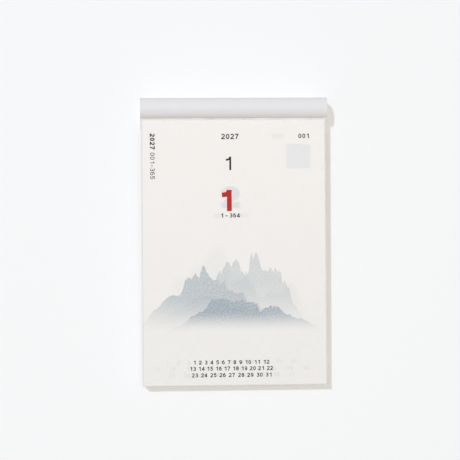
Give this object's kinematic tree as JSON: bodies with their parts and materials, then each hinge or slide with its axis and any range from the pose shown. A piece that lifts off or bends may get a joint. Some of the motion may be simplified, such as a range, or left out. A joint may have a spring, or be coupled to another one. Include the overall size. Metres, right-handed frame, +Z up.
{
  "type": "tear-off day calendar",
  "caption": "Wall calendar block of thin day sheets, stitched to a board under a half-round header roll; the front sheets lift, and the first tears off at its perforation.",
  "frame": {"origin": "centre of the hanging hole's mouth, in the plane of the wall", "axes": "+Z up along the sheets, +Y into the wall and along the hanging hole's axis, +X to the reader's right"},
  "size_m": [0.12, 0.021, 0.185],
  "materials": {
    "sheet_paper": "thin uncoated wood-free paper, guillotined edges",
    "leaf_paper": "thin uncoated wood-free paper, slightly see-through",
    "white_card": "smooth coated white card",
    "grey_board": "grey recycled board",
    "core_board": "pressed board, cut ends",
    "stitch_wire": "galvanised stitching wire"
  },
  "bodies": {
    "block": {"backing_board": "grey_board", "header_wrap": "white_card", "header_core": "core_board", "wire_stitch_left": "stitch_wire", "wire_stitch_right": "stitch_wire", "january_sheets": "sheet_paper", "february_sheets": "sheet_paper", "march_sheets": "sheet_paper", "april_sheets": "sheet_paper", "may_sheets": "sheet_paper", "june_sheets": "sheet_paper", "july_sheets": "sheet_paper", "august_sheets": "sheet_paper", "september_sheets": "sheet_paper", "october_sheets": "sheet_paper", "november_sheets": "sheet_paper", "december_sheets": "sheet_paper", "leaf_01_stub": "sheet_paper", "leaf_02_stub": "sheet_paper", "leaf_03_stub": "sheet_paper"},
    "third_sheet": {"leaf_03": "leaf_paper"},
    "second_sheet": {"leaf_02": "leaf_paper"},
    "first_sheet_edge": {"leaf_01_torn_edge": "leaf_paper"},
    "first_sheet": {"leaf_01": "leaf_paper"}
  },
  "joints": [
    {"name": "lift_third_sheet", "type": "hinge", "parent": "block", "child": "third_sheet", "pos_m": [0, -0.01451, -0.007], "axis": [-1, 0, 0], "range_deg": [0, 15]},
    {"name": "lift_second_sheet", "type": "hinge", "parent": "third_sheet", "child": "second_sheet", "pos_m": [0, -0.01451, -0.007], "axis": [-1, 0, 0], "range_deg": [0, 20]},
    {"name": "tear_first_sheet", "type": "slide", "parent": "second_sheet", "child": "first_sheet_edge", "axis": [0, 0, -1], "range_m": [0, 0.175]},
    {"name": "lift_first_sheet", "type": "hinge", "parent": "first_sheet_edge", "child": "first_sheet", "pos_m": [0, -0.01451, -0.011], "axis": [-1, 0, 0], "range_deg": [0, 85]}
  ]
}
